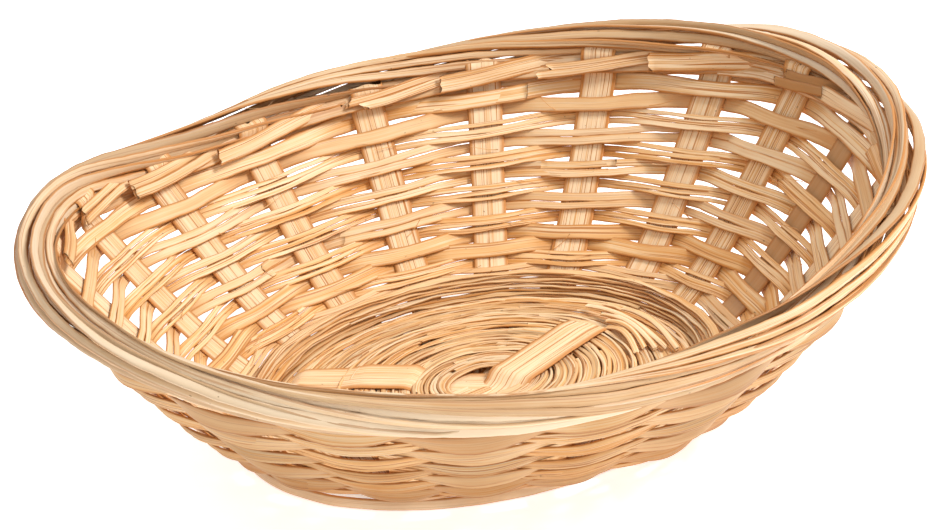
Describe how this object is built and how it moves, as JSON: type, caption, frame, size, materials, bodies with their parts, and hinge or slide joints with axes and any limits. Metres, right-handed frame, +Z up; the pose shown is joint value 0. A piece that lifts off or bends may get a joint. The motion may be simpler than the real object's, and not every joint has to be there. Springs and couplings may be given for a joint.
{
  "type": "oval woven bamboo bread basket",
  "caption": "Open oval basket with flared walls, woven from split bamboo strips on radial stakes, with a twisted rim and a foot band, for serving bread.",
  "frame": {"origin": "middle of the foot band's resting edge, on the surface the basket stands on", "axes": "+X along the oval's long axis, +Y across it, +Z up out of the open top"},
  "size_m": [0.2596, 0.2194, 0.0738],
  "materials": {
    "stake_bamboo": "split bamboo, flat strip with fine grain lines, dry and matte",
    "weaver_bamboo": "split bamboo, pale straw with warmer edges, satin",
    "base_splint_bamboo": "fine split bamboo splints, matte",
    "rim_bamboo": "smooth rind side of split bamboo, satin, tan to cream",
    "foot_bamboo": "split bamboo strip on edge, satin"
  },
  "bodies": {
    "root": {"base_weaver_01": "base_splint_bamboo", "base_weaver_02": "base_splint_bamboo", "base_weaver_03": "base_splint_bamboo", "base_weaver_04": "base_splint_bamboo", "base_weaver_05": "base_splint_bamboo", "base_weaver_06": "base_splint_bamboo", "base_weaver_07": "base_splint_bamboo", "base_weaver_08": "base_splint_bamboo", "base_weaver_09": "base_splint_bamboo", "foot_band": "foot_bamboo", "rim_strand_1": "rim_bamboo", "rim_strand_2": "rim_bamboo", "rim_strand_3": "rim_bamboo", "rim_strand_4": "rim_bamboo", "rim_strand_5": "rim_bamboo", "stake_strip_01": "stake_bamboo", "stake_strip_02": "stake_bamboo", "stake_strip_03": "stake_bamboo", "stake_strip_04": "stake_bamboo", "stake_strip_05": "stake_bamboo", "stake_strip_06": "stake_bamboo", "stake_strip_07": "stake_bamboo", "stake_strip_08": "stake_bamboo", "stake_strip_09": "stake_bamboo", "stake_strip_10": "stake_bamboo", "wall_weaver_01": "weaver_bamboo", "wall_weaver_02": "weaver_bamboo", "wall_weaver_03": "weaver_bamboo", "wall_weaver_04": "weaver_bamboo", "wall_weaver_05": "weaver_bamboo", "wall_weaver_06": "weaver_bamboo", "wall_weaver_07": "weaver_bamboo", "wall_weaver_08": "weaver_bamboo", "wall_weaver_09": "weaver_bamboo", "wall_weaver_10": "weaver_bamboo", "wall_weaver_11": "weaver_bamboo", "wall_weaver_12": "weaver_bamboo", "wall_weaver_13": "weaver_bamboo"}
  },
  "joints": []
}
